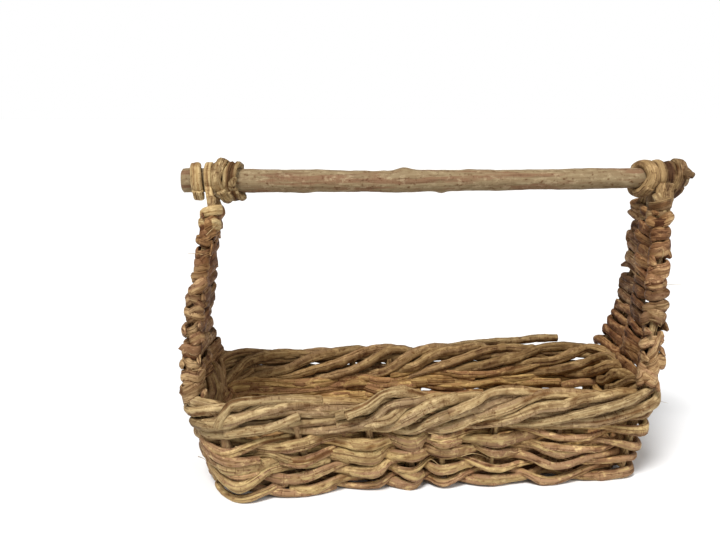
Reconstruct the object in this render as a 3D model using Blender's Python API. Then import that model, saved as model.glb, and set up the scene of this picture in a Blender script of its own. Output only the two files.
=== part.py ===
"""A wicker log basket: a flared rectangular tub woven on ribs, two woven end panels and a pole handle.

X runs along the basket, Y across it and Z up. The origin is on the ground at the middle of the whole
object. All sizes are in metres.
"""

import math

import bmesh
import bpy
from mathutils import Vector

# Tub: the middle surface of its walls, which the stakes follow
FLOOR_CENTRE_X = -0.0127
RIM_CENTRE_X = -0.0191
FLOOR_HALF_LENGTH = 0.2167
RIM_HALF_LENGTH = 0.2404
FLOOR_HALF_DEPTH = 0.0766
RIM_HALF_DEPTH = 0.0880
CORNER_RADIUS = 0.035
RIM_HEIGHT = 0.1000

# Rods: each half size is (across the rod, along its height)
GAP = 0.0003
STAKE_RADIUS = 0.0042
UPRIGHT_RADIUS = 0.0048
WEAVER_HALF = (0.0050, 0.0066)
BORDER_HALF = (0.0060, 0.0078)
FOOT_Z = WEAVER_HALF[1]
RIB_RUN_Z = 2 * WEAVER_HALF[1] + GAP + STAKE_RADIUS
WEAVER_PITCH = 2 * WEAVER_HALF[1] + GAP
FIRST_WEAVER_Z = RIB_RUN_Z + STAKE_RADIUS + GAP + WEAVER_HALF[1]
WEAVER_ABOVE_RIBS = 4
BORDER_ROWS = 2
STAKE_FLAT = 0.006
CORNER_GAP = 0.0010

# Places of the stakes: ribs as shares of the straight wall, short stakes as shares of the way to a corner
RIB_PLACES = (-0.72, -0.355, -0.135, 0.045, 0.325, 0.69)
SHORT_STAKE_PLACES = (-0.5, 0.5)

# Floor rods, by their distance from the middle line
LOWER_FLOOR_Y = (-0.040, 0.0, 0.040)
UPPER_FLOOR_Y = (-0.020, 0.020)
FLOOR_ROD_HALF_LENGTH = 0.196

# Handle pole
POLE_END_X = 0.280
POLE_HEIGHT = 0.3233
POLE_RADIUS_LEFT = 0.0128
POLE_RADIUS_RIGHT = 0.0112
POLE_SAG = 0.0022
POLE_STATIONS = 9

# Lashings: four bands round each end of the pole
LASHING_CENTRE_X = {"left": -0.2465, "right": 0.2500}
LASHING_PITCH = 0.0146
LASHING_HALF = (0.0044, 0.0042)
LASHINGS = 4

# End panels
PANEL_TOP_X = {"left": -0.2476, "right": 0.2390}
PANEL_TOP_HALF_DEPTH = 0.0460
PANEL_TOP_Z = 0.2915
STRIP_HALF = (0.0030, 0.0060)
STRIP_GAP = 0.0014
STRIP_FIRST_Z = 0.1170
STRIP_PITCH = 0.0128
STRIP_ROWS = 14
TURN_STEPS = 6
TURN_SLACK = 1.20
TIP_RADIUS = 0.0025

SIDES = ("front", "right", "back", "left")
END_TURN = {"left": -1, "right": 1}


def clear_scene():
    for item in list(bpy.data.objects):
        bpy.data.objects.remove(item)


def make_material(name, colour, roughness):
    material = bpy.data.materials.new(name)
    material.use_nodes = True
    shader = material.node_tree.nodes["Principled BSDF"]
    shader.inputs["Base Color"].default_value = (*colour, 1.0)
    shader.inputs["Roughness"].default_value = roughness
    shader.inputs["Metallic"].default_value = 0.0
    return material


def profile_points(sides):
    """A unit outline with a flat top and bottom: a box, a hexagon, or a round one with more sides."""
    turn = math.pi / sides
    corners = []
    for i in range(sides):
        angle = turn + 2 * math.pi * i / sides
        corners.append((math.sin(angle), -math.cos(angle)))
    wide = max(x for x, _ in corners)
    tall = max(z for _, z in corners)
    return [(x / wide, z / tall) for x, z in corners]


def frame_at(points, i, closed, up):
    """The mitred section of a bend: its sideways and upward directions, and the sideways stretch."""
    count = len(points)
    before = points[i - 1] if i or closed else None
    after = points[(i + 1) % count] if i < count - 1 or closed else None
    came = (points[i] - before).normalized() if before is not None else None
    goes = (after - points[i]).normalized() if after is not None else came
    came = came if came is not None else goes
    tangent = (came + goes).normalized()
    side = up.cross(tangent).normalized()
    stretch = 1.0 / max(tangent.dot(goes), 0.6)
    return side, tangent.cross(side), stretch


def sweep(name, points, halves, sides, up, material, closed=False):
    """A rod: an outline carried along points, with its half sizes at each point."""
    outline = profile_points(sides)
    mesh = bmesh.new()
    rings = []
    for i, point in enumerate(points):
        side, rise, stretch = frame_at(points, i, closed, up)
        across, along = halves[i] if isinstance(halves, list) else halves
        ring = []
        for x, z in outline:
            ring.append(mesh.verts.new(point + side * (x * across * stretch) + rise * (z * along)))
        rings.append(ring)
    pairs = list(zip(rings, rings[1:] + rings[:1])) if closed else list(zip(rings, rings[1:]))
    for ring, following in pairs:
        for j in range(sides):
            k = (j + 1) % sides
            mesh.faces.new((ring[j], ring[k], following[k], following[j]))
    if not closed:
        mesh.faces.new(rings[0])
        mesh.faces.new(rings[-1])
    bmesh.ops.recalc_face_normals(mesh, faces=mesh.faces)
    data = bpy.data.meshes.new(name)
    mesh.to_mesh(data)
    mesh.free()
    data.shade_smooth()
    data.set_sharp_from_angle(angle=math.radians(50))
    data.materials.append(material)
    rod = bpy.data.objects.new(name, data)
    bpy.context.scene.collection.objects.link(rod)
    return rod


def level(floor_value, rim_value, z):
    """A wall measure at a height, growing evenly from the floor to the rim."""
    return floor_value + (rim_value - floor_value) * z / RIM_HEIGHT


def wall_sizes(side, z):
    """Half the straight run of a wall, and its distance from the tub's middle."""
    length = level(FLOOR_HALF_LENGTH, RIM_HALF_LENGTH, z)
    depth = level(FLOOR_HALF_DEPTH, RIM_HALF_DEPTH, z)
    if side in ("front", "back"):
        return length - CORNER_RADIUS, depth
    return depth - CORNER_RADIUS, length


def corner_reach(side, z):
    """How far along a wall its corner stakes stand, measured on the middle surface."""
    return wall_sizes(side, z)[0] + CORNER_RADIUS * math.pi / 4


def wall_point(side, along, z, out=0.0):
    """A point of the wall, by its distance along that side and outwards from the middle surface."""
    straight, distance = wall_sizes(side, z)
    turn = max(abs(along) - straight, 0.0) / CORNER_RADIUS
    run = min(abs(along), straight) + (CORNER_RADIUS + out) * math.sin(turn)
    reach = distance - CORNER_RADIUS + (CORNER_RADIUS + out) * math.cos(turn)
    local = Vector((math.copysign(run, along), -reach, 0.0))
    angle = SIDES.index(side) * math.pi / 2
    x = local.x * math.cos(angle) - local.y * math.sin(angle)
    y = local.x * math.sin(angle) + local.y * math.cos(angle)
    return Vector((x + level(FLOOR_CENTRE_X, RIM_CENTRE_X, z), y, z))


def stakes_of(side, z):
    """(distance along the side, radius) of its stakes, both corner uprights included."""
    straight = wall_sizes(side, z)[0]
    reach = corner_reach(side, z)
    if side in ("front", "back"):
        turn = 1 if side == "front" else -1
        middle = sorted((turn * place * straight, STAKE_RADIUS) for place in RIB_PLACES)
    else:
        short = [(place * reach, STAKE_RADIUS) for place in SHORT_STAKE_PLACES]
        middle = sorted(short + [(0.0, UPRIGHT_RADIUS)])
    return [(-reach, UPRIGHT_RADIUS), *middle, (reach, UPRIGHT_RADIUS)]


def first_stake(side):
    """The number of a side's first corner stake, counted round the tub from the front left corner."""
    long_wall = len(RIB_PLACES) + 1
    short_wall = len(SHORT_STAKE_PLACES) + 2
    return {"front": 0, "right": long_wall, "back": long_wall + short_wall, "left": 2 * long_wall + short_wall}[side]


def between(start, end, along):
    """The offset on the slope that joins two stops."""
    share = (along - start[0]) / (end[0] - start[0])
    return start[1] + (end[1] - start[1]) * share


def weave_path(side, row, z, half_thickness):
    """A wall rod's route: outside one stake and inside the next, from corner to corner."""
    first = first_stake(side)
    stakes = stakes_of(side, z)
    straight = wall_sizes(side, z)[0]
    stops = []
    for i, (along, radius) in enumerate(stakes):
        turn = 1 if (first + i + row) % 2 == 0 else -1
        out = turn * (half_thickness + radius + GAP)
        if i:
            stops.append((along - (STAKE_FLAT if i < len(stakes) - 1 else CORNER_GAP), out))
        if i < len(stakes) - 1:
            stops.append((along + (STAKE_FLAT if i else CORNER_GAP), out))
    first_bend, last_bend = stops[0], stops[-1]
    stops.insert(1, (first_bend[0] + STAKE_FLAT, first_bend[1]))
    stops.insert(-1, (last_bend[0] - STAKE_FLAT, last_bend[1]))
    stops.insert(2, (-straight, between(stops[1], stops[2], -straight)))
    stops.insert(-2, (straight, between(stops[-3], stops[-2], straight)))
    return [wall_point(side, along, z, out) for along, out in stops]


def wall_rods(weaver_material, border_material):
    rows = [("foot", FOOT_Z, WEAVER_HALF, weaver_material)]
    for i in range(WEAVER_ABOVE_RIBS):
        z = FIRST_WEAVER_Z + i * WEAVER_PITCH
        rows.append((f"weaver_{i + 1}", z, WEAVER_HALF, weaver_material))
    z = rows[-1][1] + WEAVER_HALF[1] + GAP + BORDER_HALF[1]
    for i in range(BORDER_ROWS):
        rows.append((f"border_{i + 1}", z + i * (2 * BORDER_HALF[1] + GAP), BORDER_HALF, border_material))
    for row, (label, z, half, material) in enumerate(rows):
        for side in SIDES:
            points = weave_path(side, row, z, half[0])
            sweep(f"{label}_{side}", points, half, 6, Vector((0, 0, 1)), material)


def ribs(material):
    """U-shaped rods: down the front wall, under the floor and up the back wall."""
    for i, place in enumerate(RIB_PLACES):
        points = []
        for side, turn, heights in (("front", 1, (RIM_HEIGHT, RIB_RUN_Z)), ("back", -1, (RIB_RUN_Z, RIM_HEIGHT))):
            for z in heights:
                points.append(wall_point(side, turn * place * wall_sizes(side, z)[0], z))
        radius = (STAKE_RADIUS, STAKE_RADIUS)
        sweep(f"rib_{i + 1}", points, radius, 8, Vector((1, 0, 0)), material)


def short_stakes(material):
    """The two thin stakes of each end wall, from the foot rod up into the border."""
    foot = 2 * WEAVER_HALF[1] + GAP
    for side in ("left", "right"):
        for label, place in zip(("front", "back"), SHORT_STAKE_PLACES):
            points = []
            for z in (foot, RIM_HEIGHT):
                points.append(wall_point(side, END_TURN[side] * place * corner_reach(side, z), z))
            radius = (STAKE_RADIUS, STAKE_RADIUS)
            sweep(f"{side}_short_stake_{label}", points, radius, 8, Vector((0, 1, 0)), material)


def upright_point(end, place, z):
    """The middle line of an upright: place is -1 at the front, 0 in the middle and 1 at the back."""
    wall = wall_point(end, END_TURN[end] * place * corner_reach(end, min(z, RIM_HEIGHT)), min(z, RIM_HEIGHT))
    if z <= RIM_HEIGHT:
        return wall
    top = Vector((PANEL_TOP_X[end], place * PANEL_TOP_HALF_DEPTH, PANEL_TOP_Z))
    return wall.lerp(top, (z - RIM_HEIGHT) / (PANEL_TOP_Z - RIM_HEIGHT))


def lashing_x(end, number):
    """The middle of a band, numbered from 0 at the panel's left."""
    return LASHING_CENTRE_X[end] + (number - (LASHINGS - 1) / 2) * LASHING_PITCH


def uprights(material):
    """Rods from the foot of the end wall up through the border, drawn together under the pole."""
    foot = 2 * WEAVER_HALF[1] + GAP
    for end in ("left", "right"):
        for label, place in (("front", -1), ("middle", 0), ("back", 1)):
            points = [upright_point(end, place, z) for z in (foot, RIM_HEIGHT, PANEL_TOP_Z)]
            slot = lashing_x(end, 1.5 + place)
            if place:
                points.append(Vector((slot, place * 0.0345, 0.3025)))
                points.append(Vector((slot, place * 0.0205, 0.3200)))
            else:
                points.append(Vector((slot, 0.0, 0.2990)))
                points.append(Vector((slot, 0.0, POLE_HEIGHT - POLE_RADIUS_LEFT - 3 * GAP)))
            radii = [(UPRIGHT_RADIUS, UPRIGHT_RADIUS)] * 3 + [(TIP_RADIUS, TIP_RADIUS)] * 2
            sweep(f"{end}_upright_{label}", points, radii, 8, Vector((1, 0, 0)), material)


def strip_path(end):
    """The figure-of-eight route of an end panel's flat strip, row by row, with a turn at each edge."""
    reach = STRIP_HALF[0] + UPRIGHT_RADIUS + STRIP_GAP
    points = []
    for row in range(STRIP_ROWS):
        z = STRIP_FIRST_Z + row * STRIP_PITCH
        way = 1 if row % 2 == 0 else -1
        for place in (-way, 0, way):
            post = upright_point(end, place, z)
            face = reach * (way if place else -way)
            flat = STAKE_FLAT / 2 if place else STAKE_FLAT
            if place == -way and row == 0:
                points.append(post + Vector((face, -way * flat, 0.0)))
            if place != way:
                points.append(post + Vector((face, way * flat, 0.0)))
            if place == 0:
                points.insert(-1, post + Vector((face, -way * flat, 0.0)))
            if place == way:
                points.append(post + Vector((face, -way * flat, 0.0)))
        if row < STRIP_ROWS - 1:
            points += strip_turn(end, way, z, reach)
    return points


def strip_turn(end, way, z, reach):
    """The half turn round an outer upright, climbing to the next row."""
    points = []
    for step in range(TURN_STEPS + 1):
        angle = math.pi * step / TURN_STEPS
        height = z + STRIP_PITCH * step / TURN_STEPS
        arm = Vector((math.cos(angle), math.sin(angle), 0.0)) * reach * TURN_SLACK
        points.append(upright_point(end, way, height) + way * arm)
    return points


def panel_strips(material):
    for end in ("left", "right"):
        sweep(f"{end}_panel_weave", strip_path(end), STRIP_HALF, 4, Vector((0, 0, 1)), material)


def pole_radius(x):
    share = (x + POLE_END_X) / (2 * POLE_END_X)
    return POLE_RADIUS_LEFT + (POLE_RADIUS_RIGHT - POLE_RADIUS_LEFT) * share


def handle_pole(material):
    points = []
    radii = []
    for i in range(POLE_STATIONS):
        share = i / (POLE_STATIONS - 1)
        x = POLE_END_X * (2 * share - 1)
        sag = POLE_SAG * math.sin(math.pi * share) ** 2
        points.append(Vector((x, 0.0, POLE_HEIGHT - sag)))
        radii.append((pole_radius(x), pole_radius(x)))
    sweep("handle_pole", points, radii, 14, Vector((0, 0, 1)), material)


def lashings(material):
    """Closed bands round the pole, four at each end."""
    steps = 14
    for end in ("left", "right"):
        for number in range(LASHINGS):
            x = lashing_x(end, number)
            radius = (pole_radius(x) + GAP + LASHING_HALF[0]) / math.cos(math.pi / steps) + GAP
            points = []
            for i in range(steps):
                angle = 2 * math.pi * i / steps
                points.append(Vector((x, radius * math.cos(angle), POLE_HEIGHT + radius * math.sin(angle))))
            name = f"{end}_lashing_{number + 1}"
            sweep(name, points, LASHING_HALF, 6, Vector((1, 0, 0)), material, closed=True)


def floor_rods(material):
    """Lengthwise rods, three under the ribs and two over them, flat underneath."""
    over = RIB_RUN_Z + STAKE_RADIUS + GAP + WEAVER_HALF[1]
    rows = [(y, FOOT_Z) for y in LOWER_FLOOR_Y] + [(y, over) for y in UPPER_FLOOR_Y]
    for i, (y, z) in enumerate(sorted(rows)):
        ends = (FLOOR_CENTRE_X - FLOOR_ROD_HALF_LENGTH, FLOOR_CENTRE_X + FLOOR_ROD_HALF_LENGTH)
        points = [Vector((x, y, z)) for x in ends]
        sweep(f"floor_rod_{i + 1}", points, (WEAVER_HALF[1], WEAVER_HALF[1]), 6, Vector((0, 0, 1)), material)


def main():
    clear_scene()
    stake_wood = make_material("stake_wood", (0.30, 0.20, 0.11), 0.75)
    weaver_wood = make_material("weaver_wood", (0.40, 0.27, 0.13), 0.72)
    border_wood = make_material("border_wood", (0.43, 0.31, 0.17), 0.70)
    panel_cane = make_material("panel_cane", (0.30, 0.17, 0.09), 0.68)
    lashing_cane = make_material("lashing_cane", (0.50, 0.36, 0.20), 0.62)
    pole_wood = make_material("pole_wood", (0.42, 0.35, 0.24), 0.70)
    wall_rods(weaver_wood, border_wood)
    ribs(stake_wood)
    short_stakes(stake_wood)
    uprights(stake_wood)
    floor_rods(weaver_wood)
    panel_strips(panel_cane)
    handle_pole(pole_wood)
    lashings(lashing_cane)


main()
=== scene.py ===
"""The looks of the log basket: hand-woven vine rods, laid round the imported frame."""

import math

import bpy
import numpy as np
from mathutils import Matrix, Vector


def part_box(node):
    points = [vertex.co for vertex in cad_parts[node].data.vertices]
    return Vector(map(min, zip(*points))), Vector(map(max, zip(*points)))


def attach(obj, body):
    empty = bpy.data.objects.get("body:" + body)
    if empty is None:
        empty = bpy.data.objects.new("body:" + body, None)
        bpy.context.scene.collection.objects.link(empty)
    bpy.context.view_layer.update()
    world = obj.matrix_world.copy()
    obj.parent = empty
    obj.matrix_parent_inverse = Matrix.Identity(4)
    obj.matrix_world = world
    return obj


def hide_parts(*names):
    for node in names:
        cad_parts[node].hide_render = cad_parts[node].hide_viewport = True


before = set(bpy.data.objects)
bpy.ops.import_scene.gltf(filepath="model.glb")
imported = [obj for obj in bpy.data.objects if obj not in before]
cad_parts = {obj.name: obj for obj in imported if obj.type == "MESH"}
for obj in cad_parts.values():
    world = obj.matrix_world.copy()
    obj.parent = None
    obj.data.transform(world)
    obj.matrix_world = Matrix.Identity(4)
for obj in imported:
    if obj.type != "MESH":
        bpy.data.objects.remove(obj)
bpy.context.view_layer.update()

# Lengths are in metres, and a rod's half size is (across the rod, along its height).
# A place round the tub is counted in stakes from the front left corner, as u.
STAKES = 22
CORNER_STAKES = (0, 7, 11, 18, 22)
RIBS = 6
WALL_SIDES = ("front", "right", "back", "left")

# The tub: its front left corner bulges, and the stakes beside it stand a little further on
WALL_HALF_THICKNESS = 0.0145
CORNER_RADIUS = 0.035
CORNER_SHIFT = 0.016
BULGE_AT = -0.1
BULGE_Z = (0.010, 0.050, 0.085, 0.110)
BULGE = (0.021, 0.020, 0.011, 0.007)

# Rods: the rings along one are a step apart and have this many sides
STEP = 0.0026
FINE_STEP = 0.0018
SIDES = 20
STRIP_SIDES = 16
POST_SIDES = 12
STAKE_RADIUS = 0.0042
UPRIGHT_RADIUS = 0.0045
JITTER = 0.0006

# The wall: pairing rows, and how much paler their sticks are by their place round the tub
PAIR_ROWS = 4
FIRST_ROW_Z = 0.0080
ROW_PITCH = 0.0166
FRONT_OUT = 0.0090
FRONT_HALF = (0.0050, 0.0060)
CROSS_HALF = (0.0044, 0.0047)
WIDE_INTERVAL = 0.062
PALER_AT = (0, 7, 9, 11, 18, 20, 22)
PALER = (-0.25, 0.30, 0.10, 0.30, 0.30, 0.0, -0.25)

# The rolled border: it turns once in this many stakes
BORDER_STRANDS = 6
BORDER_Z = 0.0865
BORDER_SPREAD = (0.0100, 0.0160)
BORDER_HALF = (0.0052, 0.0055)
BORDER_TWIST = 4.7

# The end panels
PANEL_FOOT_Z = 0.1070
PANEL_TOP_Z = 0.2900
PANEL_TOP_HALF_DEPTH = 0.0400
STRIP_HALF = (0.0033, 0.0055)
STRIP_PITCH = 0.0063


# ---------------------------------------------------------------- the tub's shape
def box_of(*nodes):
    """The box round several CAD nodes."""
    boxes = [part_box(node) for node in nodes]
    low = np.min([np.array(low) for low, _ in boxes], axis=0)
    high = np.max([np.array(high) for _, high in boxes], axis=0)
    return low, high


def ring_of(row):
    """The middle of the wall at one CAD row: its centre, half length, half depth and height."""
    low, high = box_of(*[f"{row}_{side}" for side in WALL_SIDES])
    half = (high - low) / 2 - WALL_HALF_THICKNESS
    return (low[0] + high[0]) / 2, half[0], half[1], (low[2] + high[2]) / 2


FOOT_RING = ring_of("foot")
RIM_RING = ring_of("border_2")


def ring_at(z):
    """The centre, half length and half depth of the wall's middle surface at a height."""
    share = (z - FOOT_RING[3]) / (RIM_RING[3] - FOOT_RING[3])
    return [a + (b - a) * share for a, b in zip(FOOT_RING[:3], RIM_RING[:3])]


def wall_point(side, along, z, out):
    """A point of the wall, by its distance along that side and outwards from the middle surface."""
    centre, length, depth = ring_at(z)
    straight, distance = (length, depth) if side % 2 == 0 else (depth, length)
    straight -= CORNER_RADIUS
    turn = max(abs(along) - straight, 0.0) / CORNER_RADIUS
    run = math.copysign(min(abs(along), straight) + (CORNER_RADIUS + out) * math.sin(turn), along)
    reach = distance - CORNER_RADIUS + (CORNER_RADIUS + out) * math.cos(turn)
    angle = side * math.pi / 2
    x = run * math.cos(angle) + reach * math.sin(angle)
    y = run * math.sin(angle) - reach * math.cos(angle)
    return np.array((x + centre, y, z))


def rib_shares():
    """Where the ribs stand, as shares of the straight part of a long wall."""
    shares = []
    for i in range(RIBS):
        low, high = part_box(f"rib_{i + 1}")
        centre, length, _ = ring_at((low.z + high.z) / 2)
        shares.append(((low.x + high.x) / 2 - centre) / (length - CORNER_RADIUS))
    return shares


RIB_SHARES = rib_shares()


def stake_along(number, z):
    """A stake's side, the places of all stakes along that side, and which of them it is."""
    _, length, depth = ring_at(z)
    number = number % STAKES
    side = max(i for i in range(4) if CORNER_STAKES[i] <= number)
    straight = (length if side % 2 == 0 else depth) - CORNER_RADIUS
    reach = straight + CORNER_RADIUS * math.pi / 4
    step = number - CORNER_STAKES[side]
    if side % 2 == 0:
        shares = RIB_SHARES if side == 0 else [-share for share in reversed(RIB_SHARES)]
        places = [-reach, *[share * straight for share in shares], reach]
        places[0] += CORNER_SHIFT * (side == 0)
    else:
        places = [-reach, -reach / 2, 0.0, reach / 2, reach + CORNER_SHIFT * (side == 3)]
    return side, places, step


def tub_point(u, z, out):
    """A point of the wall by its place round the tub, with the bulge of the front left corner."""
    number = math.floor(u)
    side, places, step = stake_along(number, z)
    along = places[step] + (places[step + 1] - places[step]) * (u - number)
    from_corner = (u - BULGE_AT + STAKES / 2) % STAKES - STAKES / 2
    bulge = math.exp(-(from_corner**2)) * np.interp(z, BULGE_Z, BULGE)
    return wall_point(side, along, z, out + bulge)


def outwards(points):
    """How far points lie outside the wall's middle surface, negative inside the tub."""
    share = (points[:, 2] - FOOT_RING[3]) / (RIM_RING[3] - FOOT_RING[3])
    centre, length, depth = [a + (b - a) * share for a, b in zip(FOOT_RING[:3], RIM_RING[:3])]
    across = np.abs(points[:, 0] - centre) - (length - CORNER_RADIUS)
    along = np.abs(points[:, 1]) - (depth - CORNER_RADIUS)
    outside = np.hypot(np.maximum(across, 0), np.maximum(along, 0))
    return outside + np.minimum(np.maximum(across, along), 0) - CORNER_RADIUS


# ---------------------------------------------------------------- rods
# Waves are (how many round the rod, or how long along it) and size; the rest is how often knots
# and bends come, the angle that a crack takes up, and how a rod's ends close
SPLINE_POINTS = 14
ANY_TURN = 6.28
WAVES_ROUND = ((1, 0.05), (2, 0.06), (3, 0.04), (4, 0.03), (5, 0.025), (7, 0.015))
WAVES_ALONG = ((0.12, 0.06), (0.055, 0.055), (0.024, 0.04), (0.011, 0.022), (0.006, 0.012))
KNOT_EVERY = 0.08
CRACK_WIDTH = 0.30
BEND_EVERY = 0.024
BEND = 0.0007
END_SHRINK = 0.78
END_REACH = 0.16
DEEP_SKIN, SKIN_RANGE = 0.72, 0.5


def smooth(rows, step=STEP):
    """A curve through rows of numbers, whose first three are the place, read at even distances."""
    rows = np.asarray(rows, float)
    around = np.vstack([2 * rows[0] - rows[1], rows, 2 * rows[-1] - rows[-2]])
    t = np.linspace(0, 1, SPLINE_POINTS, endpoint=False)[:, None]
    spans = []
    for a, b, c, d in zip(around, around[1:], around[2:], around[3:]):
        bend = (2 * a - 5 * b + 4 * c - d) * t**2 + (3 * b - a - 3 * c + d) * t**3
        spans.append((2 * b + (c - a) * t + bend) / 2)
    curve = np.vstack([*spans, rows[-1:]])
    spacing = np.linalg.norm(np.diff(curve[:, :3], axis=0), axis=1)
    length = np.concatenate([[0], np.cumsum(spacing)])
    marks = np.linspace(0, length[-1], max(4, int(length[-1] / step)) + 1)
    return np.column_stack([np.interp(marks, length, column) for column in curve.T]), marks


def relief(rng, marks, turn, rough):
    """How much each point of a rod's skin stands out: ridges, lumps, knots and open cracks."""
    s, a = marks[:, None], turn[None, :]
    skin = np.ones((len(marks), len(turn)))
    for waves, size in WAVES_ROUND:
        drift = rng.uniform(-22, 22)
        skin += rough * size * np.sin(waves * a + drift * s + rng.uniform(0, ANY_TURN))
    for length, size in WAVES_ALONG:
        spin = rng.integers(0, 3) * a + rng.uniform(0, ANY_TURN)
        skin += rough * size * np.sin(2 * math.pi * s / (length * rng.uniform(0.8, 1.25)) + spin)
    for _ in range(rng.poisson(marks[-1] / KNOT_EVERY)):
        near = np.exp(-(((s - rng.uniform(0, marks[-1])) / rng.uniform(0.003, 0.007)) ** 2))
        knot = rough * rng.uniform(0.10, 0.30) * near
        skin += knot * (1 + np.cos(a - rng.uniform(0, ANY_TURN))) / 2
    for _ in range(rng.integers(1, 4)):
        place = a - rng.uniform(0, ANY_TURN) - rng.uniform(-8, 8) * s
        narrow = np.exp(-((((place + math.pi) % (2 * math.pi)) - math.pi) / CRACK_WIDTH) ** 2)
        from_middle = np.abs(s - rng.uniform(0, marks[-1]))
        reach = np.clip(1.3 - from_middle / rng.uniform(0.03, 0.10), 0, 1)
        skin -= rough * rng.uniform(0.12, 0.28) * narrow * reach
    return skin


def wander(rng, marks, size):
    """Small bends along a rod, as a vine has between its knots."""
    count = max(3, int(marks[-1] / BEND_EVERY))
    stops = np.linspace(0, marks[-1], count + 1)
    shift = rng.normal(0, size, (count + 1, 3))
    shift[0] = shift[-1] = 0
    return np.column_stack([np.interp(marks, stops, column) for column in shift.T])


def rod(rng, rows, tone, up=(0, 0, 1), rough=1.0, sides=SIDES, square=1.0, step=STEP):
    """One rod: rows hold its place and two half sizes. A square below 1 flattens its faces.
    Its tone is how bright and how barky it is."""
    curve, marks = smooth(rows, step)
    place, half = curve[:, :3] + wander(rng, marks, BEND * rough), curve[:, 3:5]
    tangent = np.gradient(place, axis=0)
    tangent /= np.linalg.norm(tangent, axis=1)[:, None]
    side = np.cross(np.asarray(up, float), tangent)
    side /= np.linalg.norm(side, axis=1)[:, None]
    rise = np.cross(tangent, side)
    turn = np.arange(sides) * 2 * math.pi / sides
    skin = relief(rng, marks, turn, rough)
    wide = np.sign(np.cos(turn)) * np.abs(np.cos(turn)) ** square
    tall = np.sign(np.sin(turn)) * np.abs(np.sin(turn)) ** square
    x = wide[None, :] * half[:, :1] * skin
    z = tall[None, :] * half[:, 1:] * skin
    rings = place[:, None, :] + side[:, None, :] * x[..., None] + rise[:, None, :] * z[..., None]
    first = place[0] + (rings[0] - place[0]) * END_SHRINK - tangent[0] * half[0, 0] * END_REACH
    last = place[-1] + (rings[-1] - place[-1]) * END_SHRINK + tangent[-1] * half[-1, 0] * END_REACH
    rings = np.concatenate([first[None], rings, last[None]])
    marks = np.concatenate([marks[:1], marks, marks[-1:]])
    skin = np.concatenate([skin[:1], skin, skin[-1:]])
    skin = np.clip((skin - DEEP_SKIN) / SKIN_RANGE, 0, 1)
    x = np.concatenate([x[:1], x, x[-1:]])
    z = np.concatenate([z[:1], z, z[-1:]])
    shift = rng.uniform(0, 9)
    grain = np.stack([np.broadcast_to(marks[:, None] + shift, x.shape), x, z], axis=-1)
    return {"rings": rings, "grain": grain, "tone": np.asarray(tone, float), "skin": skin}


def rod_faces(count, sides, base):
    """The faces of a rod whose points start at base: quads between its rings, and both ends."""
    i = np.arange(count - 1)[:, None] * sides
    j = np.arange(sides)[None, :]
    k = (j + 1) % sides
    quads = np.stack([i + j, i + k, i + sides + k, i + sides + j], axis=-1).reshape(-1, 4) + base
    start, end = base + count * sides, base + count * sides + 1
    tip = base + (count - 1) * sides
    ends = [(base + b, base + a, start) for a, b in zip(j[0], k[0])]
    ends += [(tip + a, tip + b, end) for a, b in zip(j[0], k[0])]
    return quads.tolist() + ends


# How far outside the wall's middle its painted shade begins, and how deep it goes; and where it
# fades
SHADE_FROM, SHADE_DEPTH = 0.0105, 0.0150
SHADE_ABOVE_RIM, SHADE_FADE = 0.035, 0.02
END_SKIN = 0.3


def wall_shade(points):
    """0 on the outermost skin of the wall and 1 on its inside face, where painted shade makes it
    darker.
    """
    below_rim = np.clip((RIM_RING[3] + SHADE_ABOVE_RIM - points[:, 2]) / SHADE_FADE, 0, 1)
    return np.clip((SHADE_FROM - outwards(points)) / SHADE_DEPTH, 0, 1) * below_rim


def piece(name, rods, material, nodes=(), shade=wall_shade):
    """Joins rods into one object that rides on the basket and stands for some CAD nodes."""
    points, faces, grain, tone, skin = [], [], [], [], []
    base = 0
    for item in rods:
        rings = item["rings"]
        count, sides, _ = rings.shape
        flat = rings.reshape(-1, 3)
        points += [flat, rings[0].mean(axis=0)[None], rings[-1].mean(axis=0)[None]]
        marks = item["grain"].reshape(-1, 3)
        grain += [marks, marks[:1] * (1, 0, 0), marks[-1:] * (1, 0, 0)]
        tone.append(np.tile(item["tone"], (count * sides + 2, 1)))
        skin.append(np.append(item["skin"].ravel(), (END_SKIN, END_SKIN)))
        faces += rod_faces(count, sides, base)
        base += count * sides + 2
    points = np.concatenate(points)
    mesh = bpy.data.meshes.new(name)
    mesh.from_pydata(points.tolist(), [], faces)
    mesh.shade_smooth()
    marks = mesh.attributes.new("grain", "FLOAT_VECTOR", "POINT")
    marks.data.foreach_set("vector", np.concatenate(grain).astype(np.float32).ravel())
    tone = np.concatenate(tone)
    # The tone attribute: brightness and barkiness, then the mask of painted shade on the inside
    # face, then the skin's relief, which paints shade in hollows
    colours = np.column_stack([tone, shade(points), np.concatenate(skin)])
    marks = mesh.attributes.new("tone", "FLOAT_COLOR", "POINT")
    marks.data.foreach_set("color", colours.astype(np.float32).ravel())
    mesh.materials.append(material)
    made = bpy.data.objects.new(name, mesh)
    bpy.context.scene.collection.objects.link(made)
    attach(made, "root")
    if nodes:
        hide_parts(*nodes)


# ---------------------------------------------------------------- materials
def node(tree, kind, **settings):
    made = tree.nodes.new(kind)
    for name, value in settings.items():
        setattr(made, name, value)
    return made


def noise(tree, vector, scale, detail=4.0, roughness=0.6):
    """Noise read along the rod: scale is how fast it changes along it and across it."""
    stretch = node(tree, "ShaderNodeMapping")
    stretch.inputs["Scale"].default_value = (scale[0], scale[1], scale[1])
    made = node(tree, "ShaderNodeTexNoise")
    made.inputs["Scale"].default_value = 1.0
    made.inputs["Detail"].default_value = detail
    made.inputs["Roughness"].default_value = roughness
    tree.links.new(vector, stretch.inputs["Vector"])
    tree.links.new(stretch.outputs["Vector"], made.inputs["Vector"])
    return made.outputs["Fac"]


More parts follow.
